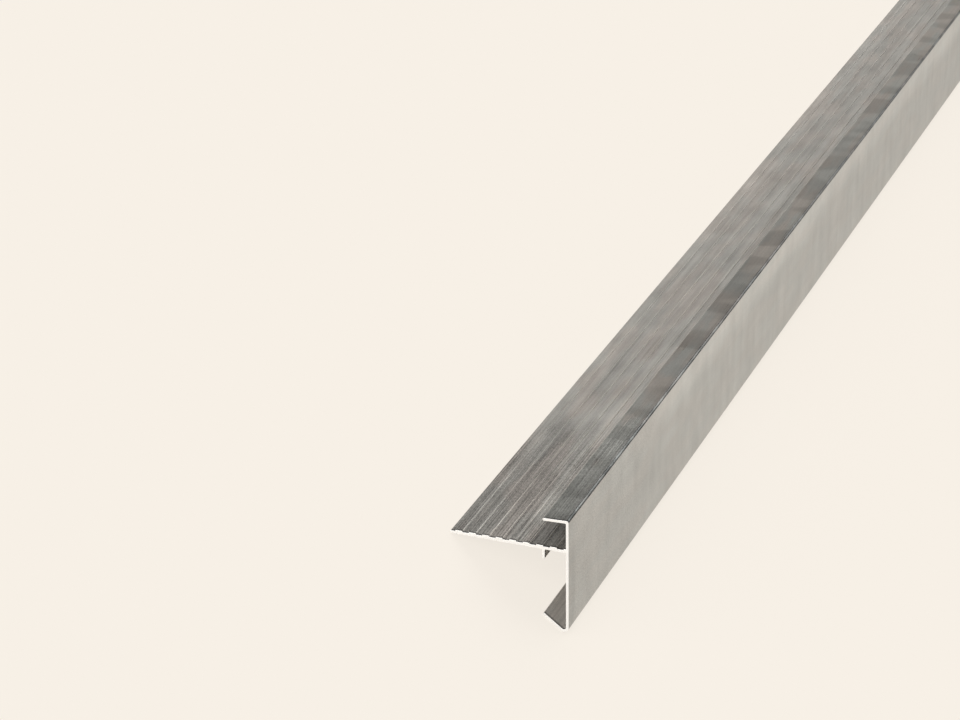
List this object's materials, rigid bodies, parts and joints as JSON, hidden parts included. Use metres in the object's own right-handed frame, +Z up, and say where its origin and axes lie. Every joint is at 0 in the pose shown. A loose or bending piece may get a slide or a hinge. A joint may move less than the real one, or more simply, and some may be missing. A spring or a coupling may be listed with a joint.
{
  "type": "aluminium roof edge trim profile",
  "caption": "Straight length of mill-finish aluminium roof edge trim: tall face, castellated flange, channel for the roofing and a return lip at the foot.",
  "frame": {"origin": "on the floor under the middle of the length, half way across the section as it lies", "axes": "+Y along the extrusion, +X towards the weather face, +Z up; the section leans 37.39 degrees from upright, on the tip of its flange and on its foot"},
  "size_m": [0.0734, 2.5, 0.0493],
  "materials": {
    "mill_aluminium": "mill finish with fine die lines"
  },
  "bodies": {
    "root": {"trim_profile": "mill_aluminium"}
  },
  "joints": []
}
